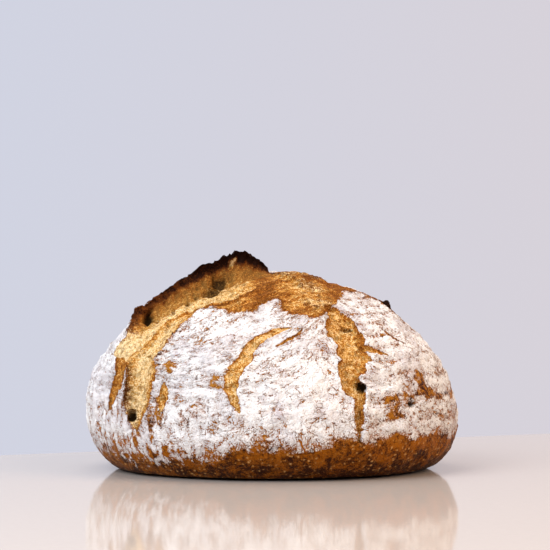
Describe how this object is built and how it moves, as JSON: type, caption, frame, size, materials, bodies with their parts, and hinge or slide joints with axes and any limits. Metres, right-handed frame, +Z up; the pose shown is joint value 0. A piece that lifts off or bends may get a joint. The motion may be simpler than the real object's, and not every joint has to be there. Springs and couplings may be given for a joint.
{
  "type": "sourdough loaf",
  "caption": "Round flour-dusted sourdough loaf with a wide scored opening, a raised ear and a flat foot; a baked food item to stand on a table, board or shelf.",
  "frame": {"origin": "centre of the loaf's bounding box, on the plane of its flat foot", "axes": "+Z up; -Y towards the front, where the scores show; +X to the right seen from the front, along the widest way of the loaf"},
  "size_m": [0.2197, 0.2077, 0.1292],
  "materials": {
    "baked_crust": "matte baked crust dusted with white flour, golden where the scores opened and dark brown at the ear and the foot"
  },
  "bodies": {
    "root": {"sourdough_loaf": "baked_crust"}
  },
  "joints": []
}
